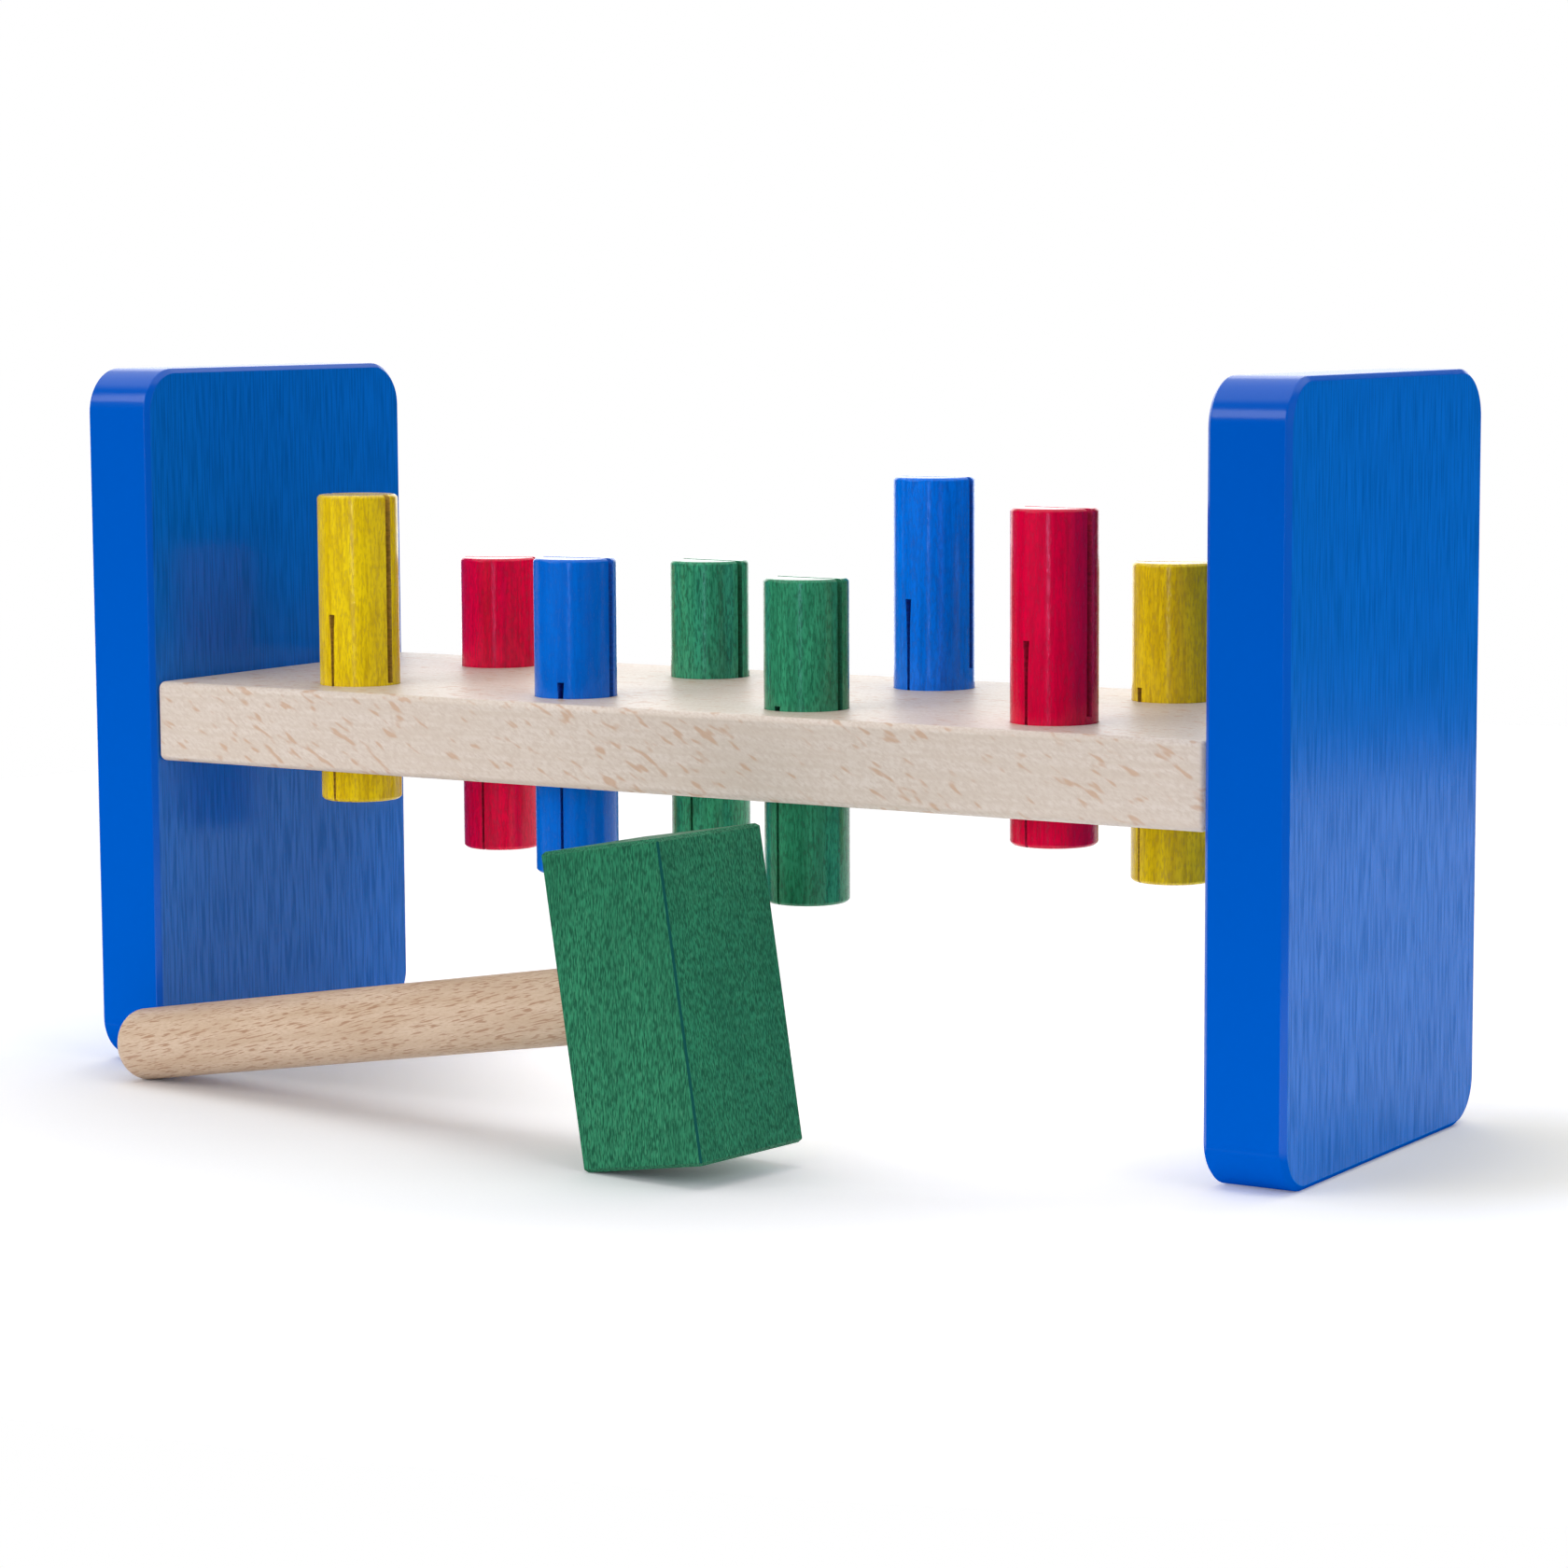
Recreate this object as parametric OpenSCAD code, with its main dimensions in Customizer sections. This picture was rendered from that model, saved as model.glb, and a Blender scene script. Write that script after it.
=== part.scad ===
// Peg pounding bench with its mallet, in millimetres, +Z up.
// Two end boards carry a peg board at half their height, so the bench stands either way up.
// Eight slotted pegs grip in the board's bores, and a mallet lies on the floor in front.
// The origin is on the floor, in the middle of the ground that bench and mallet cover together.

/* [End boards] */
// Length of the bench over both end boards
bench_l = 300; // [250:1:380]
// Height of the end boards
end_h = 159; // [145:1:200]
// Depth of the end boards, front to back
end_d = 94; // [84:1:130]
// Thickness of the end boards
end_t = 18; // [15:0.5:26]
// Radius of the end boards' four corners
end_corner_r = 10; // [5:0.5:20]
// Chamfer around the end boards' faces
end_chamfer = 1.1; // [0.4:0.1:2.5]

/* [Peg board] */
// Thickness of the peg board
board_t = 18; // [14:0.5:24]
// Chamfer along the peg board's edges
board_chamfer = 1; // [0.2:0.1:2]

/* [Pegs] */
// Diameter of a peg
peg_d = 18; // [14:0.5:22]
// Length of a peg
peg_l = 68.5; // [66:0.5:76]
// Chamfer on both ends of a peg
peg_chamfer = 0.6; // [0.2:0.1:1.5]
// Distance from an end board to the middle of the nearest pegs
peg_margin = 43.5; // [34:0.5:60]
// Distance from the peg board's long edge to the middle of a row
row_margin = 19; // [13:0.5:30]
// Clearance between a peg and its bore, on the radius
peg_clearance = 0.08; // [0.02:0.01:0.1]
// Width of the saw slots that let a peg spring
slot_w = 1.6; // [0.8:0.1:2.5]
// Length of each saw slot from its end of the peg
slot_l = 42; // [36:0.5:50]
// Height of the front pegs above the peg board, left to right
front_stand = [42.5, 30, 27.5, 43.5]; // [0:0.5:48]
// Height of the back pegs above the peg board, left to right
back_stand = [25.5, 26.5, 46.5, 29.5]; // [0:0.5:48]
// Turn of the front pegs in their bores, left to right
front_turn = [-5, 13, -12, -11]; // [-45:1:45]
// Turn of the back pegs in their bores, left to right
back_turn = [6, 3, -9, -27]; // [-45:1:45]
// Angle by which the front pegs' upper slots miss being square to the lower ones, left to right
front_skew = [1, -9, 5, 1]; // [-45:1:45]
// Angle by which the back pegs' upper slots miss being square to the lower ones, left to right
back_skew = [16, -10, 13, 42]; // [-45:1:45]

/* [Joining dowels] */
// Diameter of a joining dowel
dowel_d = 8; // [5:0.5:10]
// Length of a joining dowel
dowel_l = 30; // [22:0.5:40]
// Distance from the peg board's long edge to the middle of the nearest dowel
dowel_margin = 14; // [8:0.5:30]
// Wood left in an end board past a dowel's bore
end_wall = 6.5; // [3:0.5:9]

/* [Mallet] */
// Width of the mallet head, which is square in section
head_w = 31.75; // [26:0.25:40]
// Length of the mallet head from one striking face to the other
head_l = 65; // [50:0.5:85]
// Chamfer along the mallet head's four long edges
head_ease = 0.4; // [0.2:0.1:2]
// Chamfer around the mallet head's two striking faces
head_chamfer = 0.8; // [0.2:0.1:3]
// Diameter of the handle
handle_d = 16; // [12:0.5:20]
// Length of the handle outside the head
handle_reach = 146; // [110:1:180]
// Wood left in the head past the handle's bore
head_wall = 9; // [4:0.5:14]
// Rounding at the handle's free end
handle_end_r = 3; // [0.5:0.5:5]
// Distance of the head's centre to the right of the bench's middle
mallet_x = 30; // [-40:0.5:110]
// Gap between the bench's front and the part of the mallet nearest to it
mallet_gap = 4.5; // [2:0.1:40]
// Turn of the handle's free end towards the bench
mallet_turn = 7.5; // [0:0.1:20]

/* [Fits] */
// Clearance around a glued dowel or handle, on the radius
glue_clearance = 0.05; // [0.02:0.01:0.1]
// Room for glue past the end of a blind dowel or handle
glue_room = 0.5; // [0.2:0.1:0.9]

/* [Hidden] */
$fn = 64;
// Extra length of a cutting tool past the face it leaves
over = 1;
front_colours = ["yellow", "blue", "green", "red"];
back_colours = ["red", "green", "blue", "yellow"];
sides = ["left", "right"];
dowel_places = ["front", "middle", "back"];
row_n = len(front_colours);
dowel_n = len(dowel_places);

stain_blue = "#0a5cbd";
beech = "#e0d2bf";
dowel_beech = "#d8c0a0";
handle_beech = "#cfb394";
head_green = "#2f7e5b";
peg_paints = [["yellow", "#d4b414"], ["blue", "#0a62bd"], ["green", "#317a58"], ["red", "#c8163e"]];
function peg_paint(colour) = [for (entry = peg_paints) if (entry[0] == colour) entry[1]][0];

// Peg board between the end boards, centred at half their height.
// Its long edges stop where the end boards' chamfers begin.
board_l = bench_l - 2 * end_t;
board_d = end_d - 2 * end_chamfer;
board_mid_z = end_h / 2;
board_top_z = board_mid_z + board_t / 2;
bore_d = peg_d + 2 * peg_clearance;
peg_pitch = (board_l - 2 * peg_margin) / (row_n - 1);
row_spacing = board_d - 2 * row_margin;

// Joining dowels cross the joint between the peg board and an end board
dowel_in_end = end_t - end_wall - glue_room;
dowel_in_board = dowel_l - dowel_in_end;
dowel_spacing = (board_d - 2 * dowel_margin) / (dowel_n - 1);
dowel_bore_d = dowel_d + 2 * glue_clearance;
dowel_bore_l = dowel_l + 2 * glue_room;

// Mallet in its own frame: the middle of the head at zero, the head along Z and the handle along -X.
// It rests on the head's lower edge on the handle's side, and on the rounding of the handle's free end.
handle_bore_d = handle_d + 2 * glue_clearance;
handle_bore_l = head_w - head_wall;
handle_in_head = handle_bore_l - glue_room;
handle_l = handle_reach + handle_in_head;
handle_inner_x = handle_in_head - head_w / 2;
handle_tip_x = handle_inner_x - handle_l;
rest_edge = [head_chamfer - head_w / 2, -head_l / 2];
tip_arc = [handle_tip_x + handle_end_r, handle_end_r - handle_d / 2];
tip_to_edge = rest_edge - tip_arc;
mallet_tilt = atan2(-tip_to_edge[1], tip_to_edge[0]) - asin(handle_end_r / norm(tip_to_edge));
head_mid_z = -rest_edge[0] * sin(mallet_tilt) - rest_edge[1] * cos(mallet_tilt);

// Farthest reach of the tilted and turned mallet from the head's centre, to the front and to the back.
// The head's corner is foremost; nearest to the bench is its other corner or the handle's free end.
head_flat_w = head_w / 2 - head_ease;
head_flat_l = head_l / 2 - head_chamfer;
corner_x = head_flat_w * cos(mallet_tilt) + head_flat_l * sin(mallet_tilt);
head_front = head_w / 2 * cos(mallet_turn) + corner_x * sin(mallet_turn);
tip_back = handle_d / 2 * cos(mallet_turn) - tip_arc[0] * cos(mallet_tilt) * sin(mallet_turn);
mallet_reach = mallet_gap + max(head_front, tip_back);

// Bench and mallet share the ground evenly in front of and behind the origin
bench_y = (mallet_reach + head_front) / 2;
mallet_y = bench_y - end_d / 2 - mallet_reach;

// Rectangle with its four corners cut off at 45 degrees, centred
module chamfered_rectangle(w, h, c) {
    polygon([
        [-w / 2, c - h / 2], [c - w / 2, -h / 2], [w / 2 - c, -h / 2], [w / 2, c - h / 2],
        [w / 2, h / 2 - c], [w / 2 - c, h / 2], [c - w / 2, h / 2], [-w / 2, h / 2 - c]
    ]);
}

// Block with all its edges cut off at 45 degrees, centred: c around its two Z faces, upright_c along Z
module chamfered_block(l, d, h, c, upright_c) {
    intersection() {
        linear_extrude(h, center = true) chamfered_rectangle(l, d, upright_c);
        rotate([90, 0, 0]) linear_extrude(d, center = true) chamfered_rectangle(l, h, c);
        rotate([90, 0, 90]) linear_extrude(l, center = true) chamfered_rectangle(d, h, c);
    }
}

// Disc with both rims cut off at 45 degrees, centred, its axis along Z
module chamfered_disc(r, h, c) {
    rotate_extrude() {
        polygon([[0, -h / 2], [r - c, -h / 2], [r, c - h / 2], [r, h / 2 - c], [r - c, h / 2], [0, h / 2]]);
    }
}

// Upright board with rounded corners, centred, its faces looking along X
module rounded_board() {
    flat_d = end_d - 2 * end_corner_r;
    flat_h = end_h - 2 * end_corner_r;
    rotate([90, 0, 0]) {
        linear_extrude(flat_d, center = true) chamfered_rectangle(end_t, end_h, end_chamfer);
    }
    linear_extrude(flat_h, center = true) chamfered_rectangle(end_t, end_d, end_chamfer);
    for (y = [-1, 1], z = [-1, 1]) {
        translate([0, y * flat_d / 2, z * flat_h / 2]) {
            rotate([0, 90, 0]) chamfered_disc(end_corner_r, end_t, end_chamfer);
        }
    }
}

// Middle of a dowel on the joint between the peg board and an end board, with Z outwards.
// Side is -1 at the left and 1 at the right.
module at_joint(side, place) {
    y = (place - (dowel_n - 1) / 2) * dowel_spacing;
    translate([side * board_l / 2, bench_y + y, board_mid_z]) rotate([0, side * 90, 0]) children();
}

// Blind bores for the dowels at one end, through both pieces that they join
module dowel_bores(side) {
    for (place = [0 : dowel_n - 1]) {
        at_joint(side, place) {
            translate([0, 0, -dowel_in_board - glue_room]) cylinder(d = dowel_bore_d, h = dowel_bore_l);
        }
    }
}

module end_board(side) {
    color(stain_blue) difference() {
        translate([side * (bench_l - end_t) / 2, bench_y, end_h / 2]) rounded_board();
        dowel_bores(side);
    }
}

module left_end_board() {
    end_board(-1);
}

module right_end_board() {
    end_board(1);
}

// Middle of a peg's bore on the board's upper face; row is -1 in front and 1 behind
module at_bore(row, place) {
    x = (place - (row_n - 1) / 2) * peg_pitch;
    translate([x, bench_y + row * row_spacing / 2, board_top_z]) children();
}

module peg_board() {
    color(beech) difference() {
        translate([0, bench_y, board_mid_z]) {
            chamfered_block(board_l, board_d, board_t, board_chamfer, board_chamfer);
        }
        for (row = [-1, 1], place = [0 : row_n - 1]) {
            at_bore(row, place) {
                translate([0, 0, -board_t - over]) cylinder(d = bore_d, h = board_t + 2 * over);
            }
        }
        for (side = [-1, 1]) dowel_bores(side);
    }
}

module joining_dowel(side, place) {
    color(dowel_beech) at_joint(side, place) {
        translate([0, 0, -dowel_in_board]) cylinder(d = dowel_d, h = dowel_l);
    }
}

// Peg on its lower end, with one slot sawn up from below and one down from above, about square to each other
module slotted_peg(skew) {
    difference() {
        translate([0, 0, peg_l / 2]) chamfered_disc(peg_d / 2, peg_l, peg_chamfer);
        translate([-slot_w / 2, -peg_d / 2 - over, -over]) cube([slot_w, peg_d + 2 * over, slot_l + over]);
        rotate(skew) translate([-peg_d / 2 - over, -slot_w / 2, peg_l - slot_l]) {
            cube([peg_d + 2 * over, slot_w, slot_l + over]);
        }
    }
}

module front_peg(place) {
    color(peg_paint(front_colours[place])) at_bore(-1, place) {
        translate([0, 0, front_stand[place] - peg_l]) rotate(front_turn[place]) {
            slotted_peg(front_skew[place]);
        }
    }
}

module back_peg(place) {
    color(peg_paint(back_colours[place])) at_bore(1, place) {
        translate([0, 0, back_stand[place] - peg_l]) rotate(back_turn[place]) {
            slotted_peg(back_skew[place]);
        }
    }
}

// From the mallet's own frame to where it lies on the floor
module lay_mallet() {
    translate([mallet_x, mallet_y, head_mid_z]) rotate([0, -mallet_tilt, -mallet_turn]) children();
}

module mallet_head() {
    color(head_green) lay_mallet() difference() {
        chamfered_block(head_w, head_w, head_l, head_chamfer, head_ease);
        translate([-head_w / 2 - over, 0, 0]) {
            rotate([0, 90, 0]) cylinder(d = handle_bore_d, h = handle_bore_l + over);
        }
    }
}

// Dowel with a rounded free end and a square-cut end in the head
module mallet_handle() {
    r = handle_d / 2;
    color(handle_beech) lay_mallet() translate([handle_tip_x, 0, 0]) rotate([0, 90, 0]) {
        rotate_extrude() {
            square([r - handle_end_r, handle_l]);
            translate([0, handle_end_r]) square([r, handle_l - handle_end_r]);
            translate([r - handle_end_r, handle_end_r]) circle(handle_end_r);
        }
    }
}

left_end_board();
right_end_board();
peg_board();
for (side = [0, 1], place = [0 : dowel_n - 1]) {
    union() {
        joining_dowel(2 * side - 1, place);
    }
}
for (place = [0 : row_n - 1]) {
    front_peg(place);
    back_peg(place);
}
mallet_head();
mallet_handle();
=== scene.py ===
import math

import bmesh
import bpy
from mathutils import Matrix, Vector


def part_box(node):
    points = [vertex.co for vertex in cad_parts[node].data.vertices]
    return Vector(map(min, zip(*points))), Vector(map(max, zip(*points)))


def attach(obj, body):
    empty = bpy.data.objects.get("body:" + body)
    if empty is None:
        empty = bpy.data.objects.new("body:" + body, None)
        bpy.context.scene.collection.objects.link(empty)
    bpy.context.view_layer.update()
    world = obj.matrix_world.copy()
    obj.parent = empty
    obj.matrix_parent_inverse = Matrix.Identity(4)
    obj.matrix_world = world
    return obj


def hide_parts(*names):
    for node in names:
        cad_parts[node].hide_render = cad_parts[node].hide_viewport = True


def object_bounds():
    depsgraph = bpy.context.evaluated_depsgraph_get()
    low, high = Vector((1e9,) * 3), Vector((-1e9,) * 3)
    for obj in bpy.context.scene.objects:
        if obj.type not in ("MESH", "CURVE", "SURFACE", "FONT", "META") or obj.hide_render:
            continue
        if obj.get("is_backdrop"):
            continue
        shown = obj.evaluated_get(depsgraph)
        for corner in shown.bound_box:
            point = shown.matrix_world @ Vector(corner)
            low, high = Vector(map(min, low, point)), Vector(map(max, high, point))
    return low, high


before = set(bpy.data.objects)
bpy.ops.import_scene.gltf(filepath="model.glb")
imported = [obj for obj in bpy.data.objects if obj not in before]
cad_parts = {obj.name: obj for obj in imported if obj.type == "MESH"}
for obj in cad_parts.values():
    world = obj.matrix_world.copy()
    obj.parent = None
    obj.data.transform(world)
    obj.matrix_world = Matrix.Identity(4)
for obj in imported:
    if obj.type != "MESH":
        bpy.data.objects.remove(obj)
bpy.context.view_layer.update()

# End boards
# Two uprights sawn from beech board, their four corners rounded, every edge chamfered and then sanded.
# Each is stained blue under a satin lacquer, and glued to the peg board on three blind dowels.

MM = 0.001
X_AXIS, Z_AXIS = 0, 2

END_CORNER_R = 10 * MM
END_CORNER_STEPS = 16
END_CHAMFER = 1.1 * MM
SANDING = 0.22 * MM
SANDING_STEPS = 2
CHAMFER_LINE = math.radians(25)
WELD = 0.001 * MM

DOWELS = [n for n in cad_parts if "_dowel_" in n]
DOWEL_CLEARANCE = 0.05 * MM
DOWEL_ROOM = 0.5 * MM
BORE_STEPS = 48


def block(size):
    """A plain block of wood, with its middle at zero."""
    mesh = bmesh.new()
    bmesh.ops.create_cube(mesh, size=1)
    bmesh.ops.scale(mesh, verts=mesh.verts, vec=size)
    return mesh


def edges_along(mesh, axis):
    """The edges that run from one end of a centred mesh to the other along an axis."""
    return [e for e in mesh.edges if e.verts[0].co[axis] * e.verts[1].co[axis] < 0]


def edges_at_ends(mesh, axis):
    """The edges that lie at either end of a centred mesh along an axis."""
    return [e for e in mesh.edges if e.verts[0].co[axis] * e.verts[1].co[axis] > 0]


def bevel(mesh, edges, offset, segments):
    """Takes edges off in one flat chamfer or in a rounding of more segments. Returns the new faces."""
    made = bmesh.ops.bevel(
        mesh, geom=edges, offset=offset, segments=segments, profile=0.5, affect="EDGES", material=-1
    )
    return made["faces"]


def ease(mesh, edges, chamfer, sanding=SANDING):
    """Planes edges to a flat chamfer, then rounds the lines that this leaves, as sandpaper does."""
    bevel(mesh, edges, chamfer, 1)
    lines = [e for e in mesh.edges if e.calc_face_angle() > CHAMFER_LINE]
    bevel(mesh, lines, sanding, SANDING_STEPS)


def make_piece(name, mesh, material):
    """An object of a mesh, with its skin outward and one material."""
    bmesh.ops.remove_doubles(mesh, verts=mesh.verts, dist=WELD)
    bmesh.ops.recalc_face_normals(mesh, faces=mesh.faces)
    data = bpy.data.meshes.new(name)
    mesh.to_mesh(data)
    mesh.free()
    data.materials.append(material)
    piece = bpy.data.objects.new(name, data)
    bpy.context.collection.objects.link(piece)
    return piece


def cut(piece, mesh, material):
    """Takes the bodies of a mesh out of a piece, and gives the new walls a material."""
    cutter = make_piece("cutter", mesh, material)
    boolean = piece.modifiers.new("cut", "BOOLEAN")
    boolean.object = cutter
    boolean.solver = "EXACT"
    boolean.material_mode = "TRANSFER"
    whole = piece.data
    name = whole.name
    seen = piece.evaluated_get(bpy.context.evaluated_depsgraph_get())
    piece.data = bpy.data.meshes.new_from_object(seen)
    piece.modifiers.remove(boolean)
    bpy.data.meshes.remove(whole)
    piece.data.name = name
    bpy.data.meshes.remove(cutter.data)


def set_in(piece, body, node):
    """Shades a finished piece and sets it in the frame, in place of the CAD node it follows."""
    piece.data.shade_smooth()
    piece.data.set_sharp_from_angle(angle=CHAMFER_LINE)
    flats = piece.modifiers.new("flats", "WEIGHTED_NORMAL")
    flats.keep_sharp = True
    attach(piece, body)
    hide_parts(node)


def rod(mesh, radius, length, centre, turn, steps):
    """A cylinder along Z, turned and set at a centre."""
    bmesh.ops.create_cone(
        mesh,
        cap_ends=True,
        segments=steps,
        radius1=radius,
        radius2=radius,
        depth=length,
        matrix=Matrix.Translation(centre) @ turn,
    )


def dowel_bores():
    """A body for each dowel's bore, part in an end board and part in the peg board."""
    bores = bmesh.new()
    for dowel in DOWELS:
        low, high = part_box(dowel)
        rod(
            bores,
            (high.z - low.z) / 2 + DOWEL_CLEARANCE,
            high.x - low.x + 2 * DOWEL_ROOM,
            (low + high) / 2,
            Matrix.Rotation(math.radians(90), 4, "Y"),
            BORE_STEPS,
        )
    return bores


def linear(code):
    """The linear colour of an sRGB hex code, as a shader socket takes it."""
    parts = [int(code[i : i + 2], 16) / 255 for i in (1, 3, 5)]
    return [c / 12.92 if c <= 0.04045 else ((c + 0.055) / 1.055) ** 2.4 for c in parts] + [1]


def feed(tree, node, inputs):
    """Gives each named socket of a node its value, or the output that drives it."""
    for name, value in inputs.items():
        if isinstance(value, bpy.types.NodeSocket):
            tree.links.new(value, node.inputs[name])
        else:
            node.inputs[name].default_value = value


def add(tree, kind, inputs, output=0, **settings):
    """Adds a node with its settings and links, and returns one of its outputs."""
    node = tree.nodes.new(kind)
    for name, value in settings.items():
        setattr(node, name, value)
    feed(tree, node, inputs)
    return node.outputs[output]


def grain(tree, size_mm, levels=None, strength=1.0, centre=(0, 0, 0), turn=(0, 0, 0), detail=2.0):
    """Wood grain with patches of a real size along three axes, moved and turned as the wood lies.

    It is plain noise, or comes in softly between two levels of that noise up to a strength.
    """
    place = add(
        tree,
        "ShaderNodeMapping",
        {
            "Vector": add(tree, "ShaderNodeTexCoord", {}, output="Object"),
            "Location": centre,
            "Rotation": turn,
            "Scale": [s * MM for s in size_mm],
        },
        vector_type="TEXTURE",
    )
    noise = add(
        tree,
        "ShaderNodeTexNoise",
        {"Vector": place, "Scale": 1.0, "Detail": detail, "Roughness": 0.5},
        output="Fac",
    )
    if levels is None:
        return noise
    return add(
        tree,
        "ShaderNodeMapRange",
        {"Value": noise, "From Min": levels[0], "From Max": levels[1], "To Max": strength},
        interpolation_type="SMOOTHSTEP",
    )


# A mix node has sockets of one name for each kind of value, so those for colours go by number.
MIX_SHARE, MIX_GROUND, MIX_LAYER, MIXED_COLOUR = 0, 6, 7, 2


def layered(tree, ground, *layers):
    """A ground colour under further colours, each laid on where its pattern shows."""
    for pattern, colour in layers:
        ground = add(
            tree,
            "ShaderNodeMix",
            {MIX_SHARE: pattern, MIX_GROUND: ground, MIX_LAYER: colour},
            output=MIXED_COLOUR,
            data_type="RGBA",
        )
    return ground


def finish_of(name):
    """A new material with its node tree and its surface shader."""
    material = bpy.data.materials.new(name)
    material.use_nodes = True
    return material, material.node_tree, material.node_tree.nodes["Principled BSDF"]


# Blue stained beech: a deep blue under a satin coat, which alone shines. The broad faces are drawn a
# lighter blue than the edges and ends. That difference is painted light and shade: one blue for each way
# a face points. The flats of the edges and the feet are rubbed dull. On the broad faces open pores break
# the coat into upright lines, drawn wider than real ones so that they show.
blue_stain, tree, surface = finish_of("blue stained beech")
normal = add(tree, "ShaderNodeNewGeometry", {}, output="Normal")
facing_x = add(tree, "ShaderNodeSeparateXYZ", {"Vector": normal}, output="X")
facing_y = add(tree, "ShaderNodeSeparateXYZ", {"Vector": normal}, output="Y")
facing_z = add(tree, "ShaderNodeSeparateXYZ", {"Vector": normal}, output="Z")
broad = add(
    tree,
    "ShaderNodeMapRange",
    {
        "Value": add(tree, "ShaderNodeMath", {0: facing_x}, operation="ABSOLUTE"),
        "From Min": 0.85,
        "From Max": 0.97,
    },
    interpolation_type="SMOOTHSTEP",
)
edge_flat = add(
    tree,
    "ShaderNodeMapRange",
    {
        "Value": add(tree, "ShaderNodeMath", {0: facing_y}, operation="ABSOLUTE"),
        "From Min": 0.97,
        "From Max": 0.995,
    },
    interpolation_type="SMOOTHSTEP",
)
foot = add(
    tree,
    "ShaderNodeMapRange",
    {"Value": facing_z, "From Min": -0.2, "From Max": 0.0, "To Min": 1.0, "To Max": 0.0},
    interpolation_type="SMOOTHSTEP",
)
dull = add(tree, "ShaderNodeMath", {0: edge_flat, 1: foot}, operation="MAXIMUM")
pores = grain(tree, (2.0, 0.58, 13), levels=(0.4, 0.64), detail=3.0)
pores = add(tree, "ShaderNodeMath", {0: pores, 1: broad}, operation="MULTIPLY")
clouds = grain(tree, (18, 14, 60), levels=(0.4, 0.7), strength=0.5)
scratches = grain(tree, (5.0, 0.3, 0.3), turn=(0, math.radians(-8), math.radians(10)))
# The lighter blue that the broad faces get here is painted light. It is set apart from the edges' blue by
# which way a face points.
stain = layered(tree, linear("#006ACC"), (clouds, linear("#0065C6")), (pores, linear("#005CB2")))
coat = add(
    tree,
    "ShaderNodeMapRange",
    {"Value": pores, "To Min": 0.62, "To Max": 0.34},
    interpolation_type="SMOOTHSTEP",
)
feed(
    tree,
    surface,
    {
        "Base Color": layered(tree, linear("#0057BD"), (broad, stain)),
        "Roughness": 0.5,
        "Specular IOR Level": 0.0,
        "Coat Weight": add(
            tree, "ShaderNodeMix", {"Factor": dull, "A": coat, "B": 0.0}, data_type="FLOAT"
        ),
        "Coat Roughness": 0.17,
        "Normal": add(
            tree, "ShaderNodeBump", {"Height": scratches, "Distance": 0.006 * MM, "Strength": 0.5}
        ),
    },
)

for node in ("left_end_board", "right_end_board"):
    low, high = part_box(node)
    board = block(high - low)
    bevel(board, edges_along(board, X_AXIS), END_CORNER_R, END_CORNER_STEPS)
    ease(board, edges_at_ends(board, X_AXIS), END_CHAMFER)
    bmesh.ops.translate(board, verts=board.verts, vec=(low + high) / 2)
    piece = make_piece(node + "_finished", board, blue_stain)
    cut(piece, dowel_bores(), blue_stain)
    set_in(piece, "bench", node)

# Peg board
# A plain beech plank at half height, planed with every edge chamfered, and bored right through for the
# pegs. It is lacquered clear, and held between the end boards by the dowels in its two ends.

BOARD_CHAMFER = 1.0 * MM
BOARD_SANDING = 0.44 * MM
RAY_TURN = (0, math.radians(28), 0)
PEGS = [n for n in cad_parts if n.endswith("_peg")]
PEG_CLEARANCE = 0.08 * MM
PEG_STEPS = 96

# Natural beech: pale and almost white, finely speckled, with short soft slanting ray flecks of a pinkish
# tan that gather in loose chains. The speckle is drawn coarser than real pores, so that it shows.
natural_beech, tree, surface = finish_of("natural beech")
speckle = grain(tree, (1.1, 0.5, 0.45), levels=(0.3, 0.75), turn=RAY_TURN)
lines = grain(tree, (40, 2.0, 1.2), levels=(0.35, 0.7))
rays = grain(tree, (5.5, 1.7, 1.5), turn=RAY_TURN, detail=1.0)
chains = add(
    tree,
    "ShaderNodeMapRange",
    {
        "Value": grain(tree, (26, 12, 8), turn=RAY_TURN),
        "From Min": 0.38,
        "From Max": 0.62,
        "To Min": -0.05,
        "To Max": 0.04,
    },
    interpolation_type="SMOOTHSTEP",
)
flecks = add(
    tree,
    "ShaderNodeMapRange",
    {
        "Value": add(tree, "ShaderNodeMath", {0: rays, 1: chains}, operation="ADD"),
        "From Min": 0.58,
        "From Max": 0.72,
        "To Max": 0.75,
    },
    interpolation_type="SMOOTHSTEP",
)
feed(
    tree,
    surface,
    {
        "Base Color": layered(
            tree,
            linear("#DDD0C2"),
            (lines, linear("#D5C6B5")),
            (speckle, linear("#D0BFAE")),
            (flecks, linear("#C6A183")),
        ),
        "Roughness": add(
            tree,
            "ShaderNodeMapRange",
            {"Value": speckle, "To Min": 0.4, "To Max": 0.5},
            interpolation_type="SMOOTHSTEP",
        ),
        "IOR": 1.5,
        "Normal": add(
            tree, "ShaderNodeBump", {"Height": speckle, "Distance": 0.008 * MM, "Strength": 0.3}
        ),
    },
)

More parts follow.
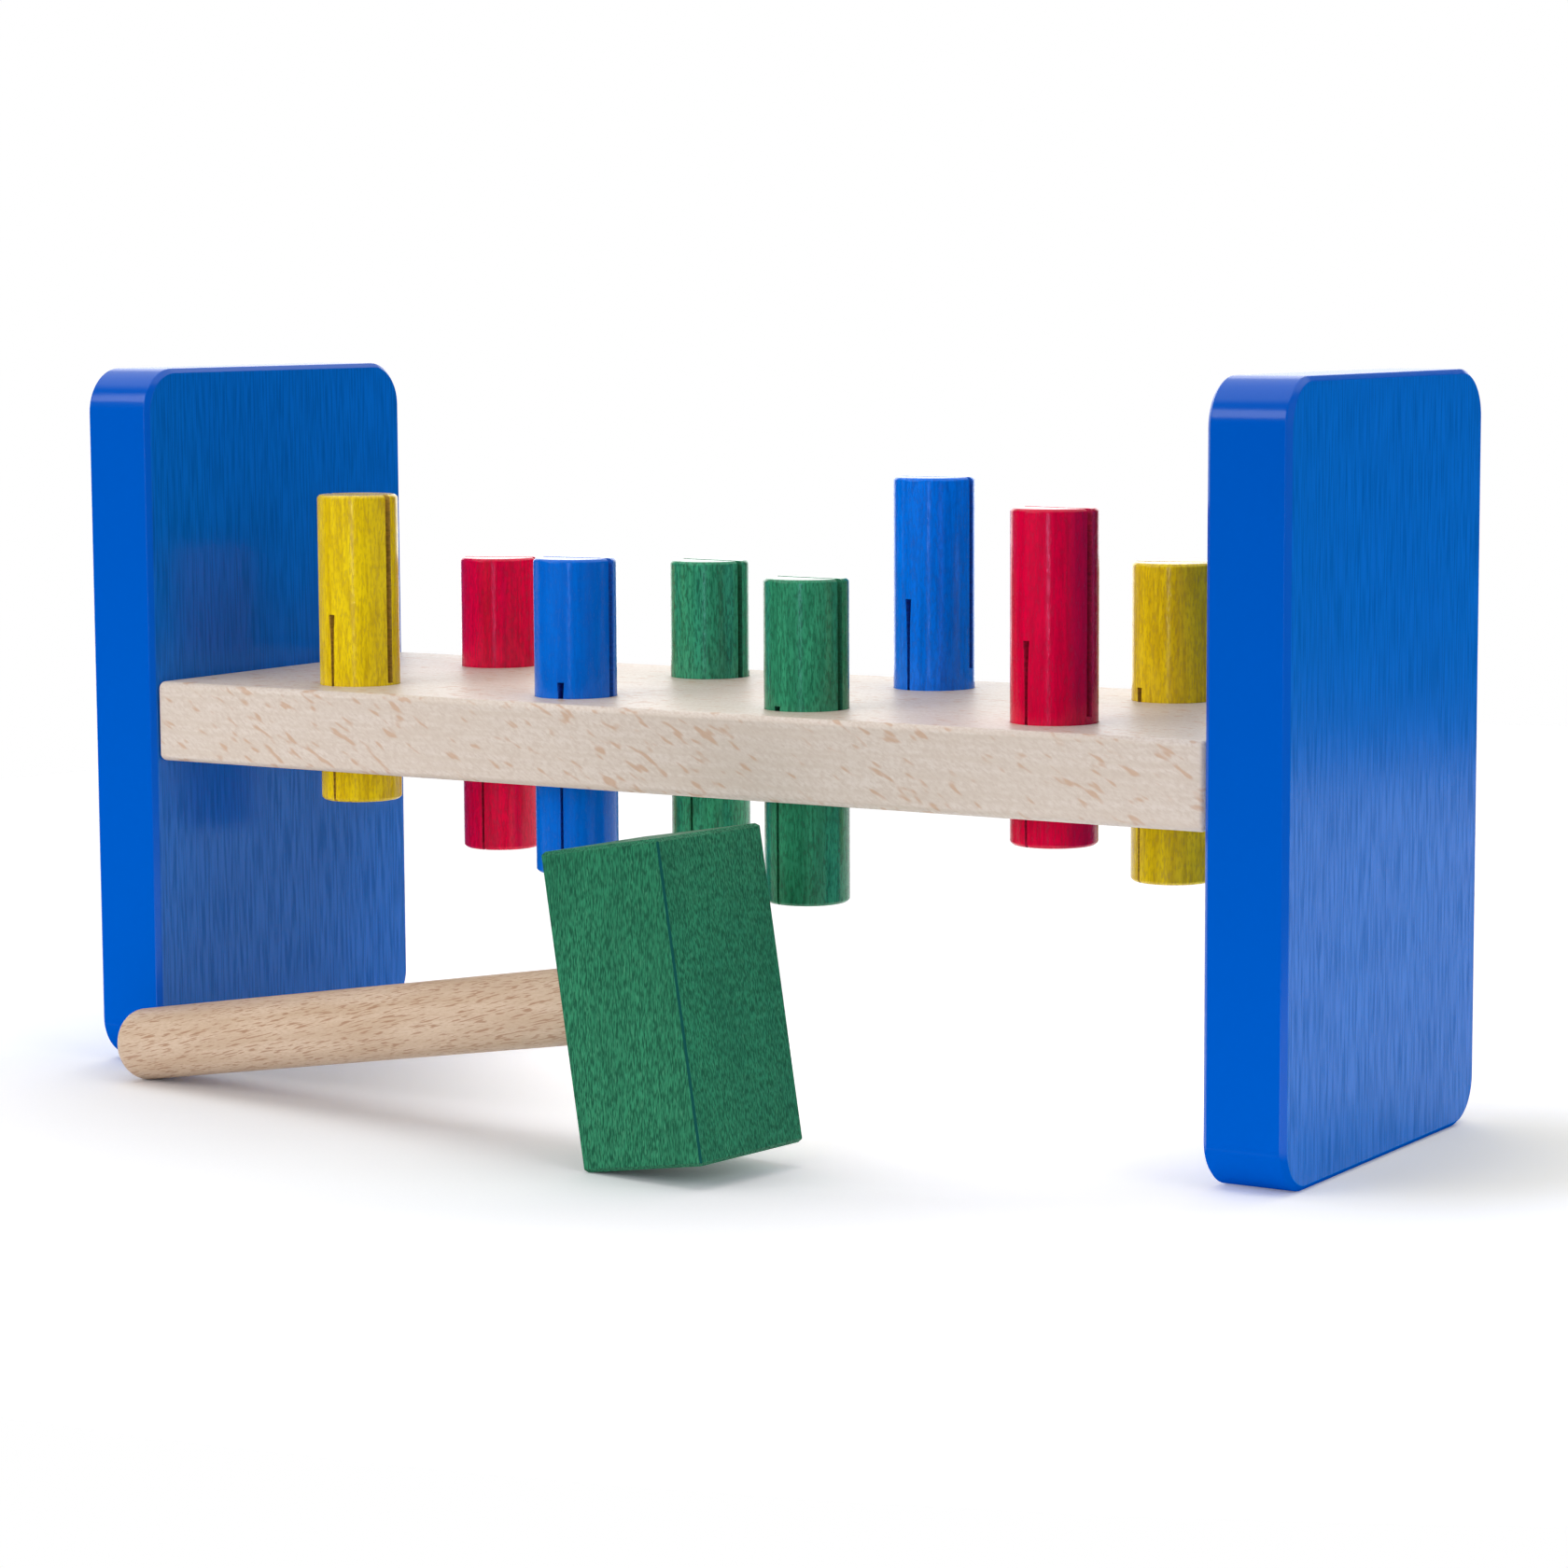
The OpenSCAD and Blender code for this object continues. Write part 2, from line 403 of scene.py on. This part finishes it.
low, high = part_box("peg_board")
board = block(high - low)
ease(board, board.edges[:], BOARD_CHAMFER, BOARD_SANDING)
bmesh.ops.translate(board, verts=board.verts, vec=(low + high) / 2)
piece = make_piece("peg_board_finished", board, natural_beech)
bores = dowel_bores()
drill_l = 2 * (high.z - low.z)
for peg in PEGS:
    peg_low, peg_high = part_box(peg)
    middle = (peg_low + peg_high) / 2
    middle.z = (low.z + high.z) / 2
    radius = (peg_high.x - peg_low.x) / 2 + PEG_CLEARANCE
    rod(bores, radius, drill_l, middle, Matrix.Identity(4), PEG_STEPS)
cut(piece, bores, natural_beech)
set_in(piece, "bench", "peg_board")

# Joining dowels
# Six short turned beech dowels, three at each end, that join the peg board to the end boards. They are
# glued in blind bores and out of sight, so the CAD solids serve as they are.

# Bare dowel beech: dull turned wood with fine lines along the dowel.
dowel_beech, tree, surface = finish_of("bare dowel beech")
lines = grain(tree, (9, 0.4, 0.4), levels=(0.35, 0.7))
feed(
    tree,
    surface,
    {"Base Color": layered(tree, linear("#D2BC9E"), (lines, linear("#B99A76"))), "Roughness": 0.7},
)
for dowel in DOWELS:
    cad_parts[dowel].material_slots[0].material = dowel_beech

# Pegs
# Eight lengths of beech dowel, two of each colour. Two saw slots, one from each end and about square to
# each other, let the wood spring. The bore squeezes the lower slot, so it narrows towards the lower end.

PEG_CHAMFER = 0.6 * MM
SLOT_W = 1.6 * MM
SLOT_L = 42 * MM
SQUEEZED_SLOT_W = 0.65 * MM
SQUEEZE_L = 6 * MM
SAW_OVERRUN = 2 * MM
SAW_TEARS = 0.05 * MM
SAW_STEPS = 40
SAW_SEED = 1
FROM_BELOW, FROM_ABOVE = -1, 1
# Each peg's turn in its bore and how far its upper slot misses being square to the lower one, both in
# degrees, and how bright its lacquer is drawn, which was matched for each peg by itself. The back row is
# drawn brighter. That is partly painted light, which lifts the shade the back row stands in, and partly
# the pegs' own tone.
PEG_LOOKS = {
    "front_yellow": (-5, 1, 1.08),
    "front_blue": (13, -9, 1.0),
    "front_green": (-12, 5, 0.93),
    "front_red": (-11, 1, 1.0),
    "back_red": (6, 16, 1.35),
    "back_green": (3, -10, 1.15),
    "back_blue": (-9, 13, 1.42),
    "back_yellow": (-27, 42, 1.15),
}
# Each lacquer's own colour, the tone of the late wood and pores under it, how strongly that tone shows in
# the pores, and the tone of the sawn slot. The slot tone is given much lighter than the soaked wood:
# painted light that lifts the deep shade inside the narrow slot.
LACQUERS = {
    "yellow": ("#EED010", "#AE800C", 0.5, "#E0B850"),
    "red": ("#E6003C", "#A8002C", 0.5, "#E0305C"),
    "green": ("#3C9E72", "#105036", 0.7, "#3A9068"),
    "blue": ("#006CD4", "#0056B8", 0.5, "#2A70D8"),
}


def peg_lacquer(name, tint, streak, figure):
    """Coloured lacquer: semi-gloss, over raised fibres, with the dowel's grain as upright streaks.

    The pores and fibres are drawn coarser than real ones, so that they show.
    """
    material, tree, surface = finish_of(name + " lacquer on beech")
    bands = grain(tree, (3.5, 3.5, 90), levels=(0.35, 0.7), strength=0.3)
    lines = grain(tree, (0.7, 0.7, 9), levels=(0.4, 0.7), strength=0.4)
    pores = grain(tree, (0.38, 0.38, 1.7), levels=(0.42, 0.68), strength=figure)
    fibres = grain(tree, (0.6, 0.6, 1.4), detail=1.0)
    feed(
        tree,
        surface,
        {
            "Base Color": layered(tree, tint, (bands, streak), (lines, streak), (pores, streak)),
            "Roughness": add(
                tree,
                "ShaderNodeMapRange",
                {"Value": pores, "From Max": figure, "To Min": 0.16, "To Max": 0.28},
                interpolation_type="SMOOTHSTEP",
            ),
            "Specular IOR Level": 0.28,
            "IOR": 1.5,
            "Normal": add(
                tree, "ShaderNodeBump", {"Height": fibres, "Distance": 0.05 * MM, "Strength": 0.6}
            ),
        },
    )
    return material


def sawn_slot(name, tone):
    """Soaked sawn beech: rough dull wood that the colour soaked into, with cross marks of the saw."""
    # The tone is given lighter than the soaked wood is: painted light against the shade inside the slot.
    material, tree, surface = finish_of(name + " soaked sawn beech")
    marks = grain(tree, (1.5, 1.5, 0.5), levels=(0.3, 0.7), strength=0.35)
    feed(
        tree,
        surface,
        {
            "Base Color": layered(tree, tone, (marks, linear("#2A1A12"))),
            "Roughness": 0.9,
            "Specular IOR Level": 0.1,
            "Normal": add(
                tree, "ShaderNodeBump", {"Height": marks, "Distance": 0.1 * MM, "Strength": 0.5}
            ),
        },
    )
    return material


def saw_blade(end, turn_deg, peg_r, peg_l, mouth_w):
    """What a saw takes out of a peg from one end, with torn sides that close to a width at the mouth."""
    blade_l = SLOT_L + SAW_OVERRUN
    blade_w = 3 * peg_r
    saw = block((SLOT_W, blade_w, blade_l))
    bmesh.ops.subdivide_edges(
        saw,
        edges=edges_along(saw, Z_AXIS),
        cuts=SAW_STEPS,
        use_grid_fill=True,
        fractal=SAW_TEARS,
        along_normal=1,
        seed=SAW_SEED,
    )
    for vert in saw.verts:
        from_root = blade_l / 2 + end * vert.co.z
        vert.co.x *= 1 - (1 - mouth_w / SLOT_W) * (1 - math.exp(-from_root / SQUEEZE_L))
    height = end * (peg_l - SLOT_L + SAW_OVERRUN) / 2
    bmesh.ops.rotate(saw, verts=saw.verts, matrix=Matrix.Rotation(math.radians(turn_deg), 3, "Z"))
    bmesh.ops.translate(saw, verts=saw.verts, vec=(0, 0, height))
    return saw


for body, (turn_deg, skew_deg, brightness_and_painted_light) in PEG_LOOKS.items():
    node = body + "_peg"
    name = body.replace("_", " ")
    colour = body.split("_")[1]
    tint, streak, figure, sawn = LACQUERS[colour]
    # The lift in brightness is partly painted light, most of all in the back row, which stands in shade.
    tint_with_painted_light = [min(1, brightness_and_painted_light * c) for c in linear(tint)]
    skin = peg_lacquer(name, tint_with_painted_light, linear(streak), figure)
    slot = sawn_slot(name, linear(sawn))
    low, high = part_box(node)
    peg_l = high.z - low.z
    peg_r = (high.x - low.x) / 2
    peg = bmesh.new()
    rod(peg, peg_r, peg_l, (0, 0, 0), Matrix.Identity(4), PEG_STEPS)
    ease(peg, edges_at_ends(peg, Z_AXIS), PEG_CHAMFER)
    piece = make_piece(node + "_finished", peg, skin)
    cut(piece, saw_blade(FROM_BELOW, 0, peg_r, peg_l, SQUEEZED_SLOT_W), slot)
    cut(piece, saw_blade(FROM_ABOVE, 90 + skew_deg, peg_r, peg_l, SLOT_W), slot)
    turned = Matrix.Rotation(math.radians(turn_deg), 4, "Z")
    piece.data.transform(Matrix.Translation((low + high) / 2) @ turned)
    set_in(piece, body, node)

# Mallet head
# A square block of beech stained green, its striking faces chamfered and its long edges eased, with a
# blind bore for the handle. The mallet lies on the head's lower edge and the end of the handle.

HEAD_W = 31.75 * MM
HEAD_L = 65 * MM
HEAD_EASE = 0.4 * MM
HEAD_CHAMFER = 0.8 * MM
HEAD_WALL = 9 * MM
HANDLE_D = 16 * MM
HANDLE_REACH = 146 * MM
HANDLE_END_R = 3 * MM
HANDLE_STEPS = 96
GLUE_CLEARANCE = 0.05 * MM
MALLET_TURN = math.radians(7.5)

# The mallet's own frame has the middle of the head at zero, the head along Z and the handle along -X.
# Its tilt is that of the line under the head's lower edge and the rounding of the handle's free end.
bore_end = HEAD_W / 2 - HEAD_WALL
free_end = -HEAD_W / 2 - HANDLE_REACH
rest_edge = Vector((HEAD_CHAMFER - HEAD_W / 2, -HEAD_L / 2))
tip_arc = Vector((free_end + HANDLE_END_R, HANDLE_END_R - HANDLE_D / 2))
span = rest_edge - tip_arc
mallet_tilt = math.atan2(-span.y, span.x) - math.asin(HANDLE_END_R / span.length)
low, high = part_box("mallet_head")
head_middle = (low + high) / 2
lie = Matrix.Rotation(-MALLET_TURN, 4, "Z") @ Matrix.Rotation(-mallet_tilt, 4, "Y")
laid = Matrix.Translation(head_middle) @ lie
along_handle = Matrix.Rotation(math.radians(90), 4, "Y")

# Green stained beech: dense short upright streaks of light and dark green, duller than the pegs. The
# fibres are drawn coarser than real ones, so that they show.
green_stain, tree, surface = finish_of("green stained beech")
fibres = grain(tree, (0.28, 0.28, 1.7), levels=(0.36, 0.64))
specks = grain(tree, (0.3, 0.3, 1.8), levels=(0.6, 0.72), strength=0.6, detail=1.0)
clouds = grain(tree, (9, 9, 30), levels=(0.35, 0.7), strength=0.25)
feed(
    tree,
    surface,
    {
        "Base Color": layered(
            tree,
            linear("#104E36"),
            (fibres, linear("#2C825B")),
            (specks, linear("#46946C")),
            (clouds, linear("#115239")),
        ),
        "Roughness": add(
            tree,
            "ShaderNodeMapRange",
            {"Value": fibres, "To Min": 0.6, "To Max": 0.42},
            interpolation_type="SMOOTHSTEP",
        ),
        "Specular IOR Level": 0.15,
        "IOR": 1.5,
        "Normal": add(
            tree, "ShaderNodeBump", {"Height": fibres, "Distance": 0.03 * MM, "Strength": 0.5}
        ),
    },
)

# Dark green edge line: the narrow flats of the long edges are drawn darker and bluer, as a thin line.
dark_edge_green, tree, surface = finish_of("dark green edge line")
feed(tree, surface, {"Base Color": linear("#0B4C46"), "Roughness": 0.6, "Specular IOR Level": 0.1})

head = block((HEAD_W, HEAD_W, HEAD_L))
bevel(head, edges_at_ends(head, Z_AXIS), HEAD_CHAMFER, 1)
for face in bevel(head, edges_along(head, Z_AXIS), HEAD_EASE, 1):
    face.material_index = 1
bmesh.ops.transform(head, verts=head.verts, matrix=laid)
piece = make_piece("mallet_head_finished", head, green_stain)
piece.data.materials.append(dark_edge_green)
bore = bmesh.new()
bore_start = -HEAD_W
rod(
    bore,
    HANDLE_D / 2 + GLUE_CLEARANCE,
    bore_end - bore_start,
    laid @ Vector(((bore_start + bore_end) / 2, 0, 0)),
    lie @ along_handle,
    HANDLE_STEPS,
)
cut(piece, bore, green_stain)
set_in(piece, "mallet", "mallet_head")

# Mallet handle
# A plain beech dowel, lacquered clear, with its free end rounded over. The other end is glued in the
# head's blind bore, with a little room for glue past it.

HANDLE_END_STEPS = 8
GLUE_ROOM = 0.5 * MM
RAY_SLANT = math.radians(6)

# Handle beech: tan and speckled, with the short brown dashes that beech rays make along a dowel. Speckle
# and dashes are drawn coarser than real ones, so that they show.
handle_beech, tree, surface = finish_of("handle beech")
with_handle = (0, -mallet_tilt, -MALLET_TURN)
slanting = (0, -mallet_tilt - RAY_SLANT, -MALLET_TURN)
tones = grain(tree, (30, 3, 3), levels=(0.35, 0.7), centre=head_middle, turn=with_handle)
speckle = grain(
    tree, (1.2, 0.3, 0.3), levels=(0.35, 0.7), strength=0.4, centre=head_middle, turn=with_handle
)
dashes = grain(
    tree,
    (4.4, 0.36, 0.32),
    levels=(0.54, 0.67),
    strength=0.85,
    centre=head_middle,
    turn=slanting,
    detail=1.0,
)
feed(
    tree,
    surface,
    {
        "Base Color": layered(
            tree,
            linear("#CDB59B"),
            (tones, linear("#C1A78B")),
            (speckle, linear("#B4957A")),
            (dashes, linear("#A0785A")),
        ),
        "Roughness": 0.5,
        "IOR": 1.5,
        "Normal": add(
            tree, "ShaderNodeBump", {"Height": dashes, "Distance": 0.02 * MM, "Strength": 0.2}
        ),
    },
)

handle = bmesh.new()
inner_end = bore_end - GLUE_ROOM
handle_middle_x = (inner_end + free_end) / 2
rod(handle, HANDLE_D / 2, inner_end - free_end, (handle_middle_x, 0, 0), along_handle, HANDLE_STEPS)
free_rim = [e for e in handle.edges if all(v.co.x < handle_middle_x for v in e.verts)]
bevel(handle, free_rim, HANDLE_END_R, HANDLE_END_STEPS)
bmesh.ops.transform(handle, verts=handle.verts, matrix=laid)
piece = make_piece("mallet_handle_finished", handle, handle_beech)
set_in(piece, "mallet", "mallet_handle")

# Floor
# A white table under the toy. It glows by itself, which is painted light, most of all in a pool under the
# peg board, where that fills the shadow. It does not glow at all under the mallet or beside the right end
# board, whose shadows stay.

FLOOR_R = 570 * MM
FLOOR_MIDDLE = Vector((0, 300, 0)) * MM
FLOOR_STEPS = 96
GLOW = 0.14
POOL_GLOW = 0.5
# The middle and the half widths of an oval, and the share of the way out where its soft edge begins.
UNDER_PEG_BOARD = (Vector((30, 30, 0)) * MM, (143, 100, 100), 0.4)
UNDER_MALLET = (Vector((-45, -62, 0)) * MM, (190, 110, 110), 0.5)
BESIDE_RIGHT_BOARD = (Vector((168, 35, 0)) * MM, (56, 76, 76), 0.3)


def oval(tree, middle, size_mm, soft_from, inside, outside):
    """One value inside an oval of a real size and another outside it, with a soft edge between them."""
    place = add(
        tree,
        "ShaderNodeMapping",
        {
            "Vector": add(tree, "ShaderNodeTexCoord", {}, output="Object"),
            "Location": middle,
            "Scale": [s * MM for s in size_mm],
        },
        vector_type="TEXTURE",
    )
    way_out = add(tree, "ShaderNodeVectorMath", {0: place}, output="Value", operation="LENGTH")
    return add(
        tree,
        "ShaderNodeMapRange",
        {"Value": way_out, "From Min": soft_from, "To Min": inside, "To Max": outside},
        interpolation_type="SMOOTHSTEP",
    )


# Glowing white table: matt white with a painted glow. Beside the right end board it is tinted warmer, a
# painted tint that takes the blue light the board throws on it back to grey.
glowing_table, tree, surface = finish_of("glowing white table")
tooth = grain(tree, (0.8, 0.8, 0.8))
# The warm tint beside the right end board is painted against the blue light the board throws there.
off_board = oval(tree, *BESIDE_RIGHT_BOARD, inside=0.0, outside=1.0)
off_mallet = oval(tree, *UNDER_MALLET, inside=0.0, outside=GLOW)
pool = oval(tree, *UNDER_PEG_BOARD, inside=POOL_GLOW, outside=0.0)
white = layered(tree, linear("#F3F3F3"), (tooth, linear("#F7F7F7")))
# The glow is painted light: the table has no lamp under it. It is left out under the mallet and beside
# the right end board.
glow = add(tree, "ShaderNodeMath", {0: off_mallet, 1: off_board}, operation="MULTIPLY")
feed(
    tree,
    surface,
    {
        "Base Color": layered(tree, linear("#F3EFE2"), (off_board, white)),
        "Roughness": 0.9,
        "Specular IOR Level": 0.0,
        "Emission Color": linear("#FFFFFF"),
        "Emission Strength": add(tree, "ShaderNodeMath", {0: glow, 1: pool}, operation="ADD"),
    },
)
table = bmesh.new()
bmesh.ops.create_circle(
    table,
    cap_ends=True,
    segments=FLOOR_STEPS,
    radius=FLOOR_R,
    matrix=Matrix.Translation(FLOOR_MIDDLE),
)
floor = make_piece("floor", table, glowing_table)
floor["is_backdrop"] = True

# Studio light
# A broad soft light overhead, a little behind the toy, and a bright backdrop behind it. In front hang a
# softbox and a cool strip that shine in the lacquer, and two fills that are kept from shining in it.

OVERHEAD = Vector((-0.12, 0.25, 1)).normalized()
OVERHEAD_RADIANCE = 1.45
CAMERA_AZIMUTH = math.radians(31.944)
BEHIND = Vector((-math.sin(CAMERA_AZIMUTH), math.cos(CAMERA_AZIMUTH), 0))
BACKDROP_RADIANCE = 2.2
ROOM_RADIANCE = 0.03
# Each lamp's width, height, middle and radiance.
SOFTBOX = (0.9, 0.4, Vector((-0.56, -0.89, 0.75)), 3.5)
STRIP = (0.07, 0.7, Vector((0.317, -1.105, 0.36)), 11.0)
FRONT_FILL = (1.2, 0.55, Vector((-0.5, -1.05, 0.3)), 3.3)
SIDE_FILL = (1.2, 1.0, Vector((1.2, -0.1, 0.6)), 2.3)

# The overhead light and the backdrop fade out by the cosine of the angle from the middle of each.
studio = bpy.data.worlds.new("studio")
studio.use_nodes = True
bpy.context.scene.world = studio
tree = studio.node_tree
way = add(tree, "ShaderNodeTexCoord", {}, output="Generated")
upward = add(
    tree, "ShaderNodeVectorMath", {0: way, 1: OVERHEAD}, output="Value", operation="DOT_PRODUCT"
)
backward = add(
    tree, "ShaderNodeVectorMath", {0: way, 1: BEHIND}, output="Value", operation="DOT_PRODUCT"
)
overhead = add(
    tree,
    "ShaderNodeMapRange",
    {
        "Value": upward,
        "From Min": 0.62,
        "From Max": 0.78,
        "To Min": ROOM_RADIANCE,
        "To Max": OVERHEAD_RADIANCE,
    },
    interpolation_type="SMOOTHSTEP",
)
backdrop = add(
    tree,
    "ShaderNodeMapRange",
    {"Value": backward, "From Min": 0.78, "From Max": 0.88, "To Max": BACKDROP_RADIANCE},
    interpolation_type="SMOOTHSTEP",
)
light = add(tree, "ShaderNodeMath", {0: overhead, 1: backdrop}, operation="ADD")
seen = add(tree, "ShaderNodeLightPath", {}, output="Is Camera Ray")
shown = add(tree, "ShaderNodeMix", {"Factor": seen, "A": light, "B": 1.0}, data_type="FLOAT")
feed(tree, tree.nodes["Background"], {"Color": linear("#FFFFFF"), "Strength": shown})


def hang_lamp(name, width, height, middle, radiance):
    """A soft rectangular lamp that faces the toy and isn't seen itself."""
    light = bpy.data.lights.new(name, "AREA")
    light.shape = "RECTANGLE"
    light.size = width
    light.size_y = height
    light.energy = radiance * math.pi * width * height
    lamp = bpy.data.objects.new(name, light)
    lamp.location = middle
    lamp.rotation_euler = Vector((-middle.x, -middle.y, 0)).to_track_quat("-Z", "Y").to_euler()
    lamp.visible_camera = False
    bpy.context.collection.objects.link(lamp)
    return lamp


hang_lamp("softbox", *SOFTBOX)
hang_lamp("cool strip", *STRIP).data.color = linear("#B4C2FF")[:3]
hang_lamp("front fill", *FRONT_FILL).visible_glossy = False
hang_lamp("side fill", *SIDE_FILL).visible_glossy = False

# Camera
# It stands where the photograph was taken from, found by fitting one perspective to the bench's edges.
# It aims at a point in the bench's middle plane.

CAMERA_PITCH = math.radians(6.629)
CAMERA_ROLL = math.radians(-0.295)
CAMERA_DISTANCE = 923.3 * MM
CAMERA_AIM_X = 6.985 * MM
CAMERA_AIM_Z = 68.378 * MM
CAMERA_LENS_MM = 96.73

lens = bpy.data.cameras.new("camera")
lens.lens = CAMERA_LENS_MM
camera = bpy.data.objects.new("camera", lens)
bpy.context.collection.objects.link(camera)
low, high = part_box("left_end_board")
aim = Vector((CAMERA_AIM_X, (low.y + high.y) / 2, CAMERA_AIM_Z))
camera.matrix_world = (
    Matrix.Translation(aim)
    @ Matrix.Rotation(CAMERA_AZIMUTH, 4, "Z")
    @ Matrix.Rotation(math.radians(90) - CAMERA_PITCH, 4, "X")
    @ Matrix.Rotation(CAMERA_ROLL, 4, "Z")
    @ Matrix.Translation((0, 0, CAMERA_DISTANCE))
)
bpy.context.scene.camera = camera
bpy.context.scene.view_settings.view_transform = "Standard"

low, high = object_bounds()
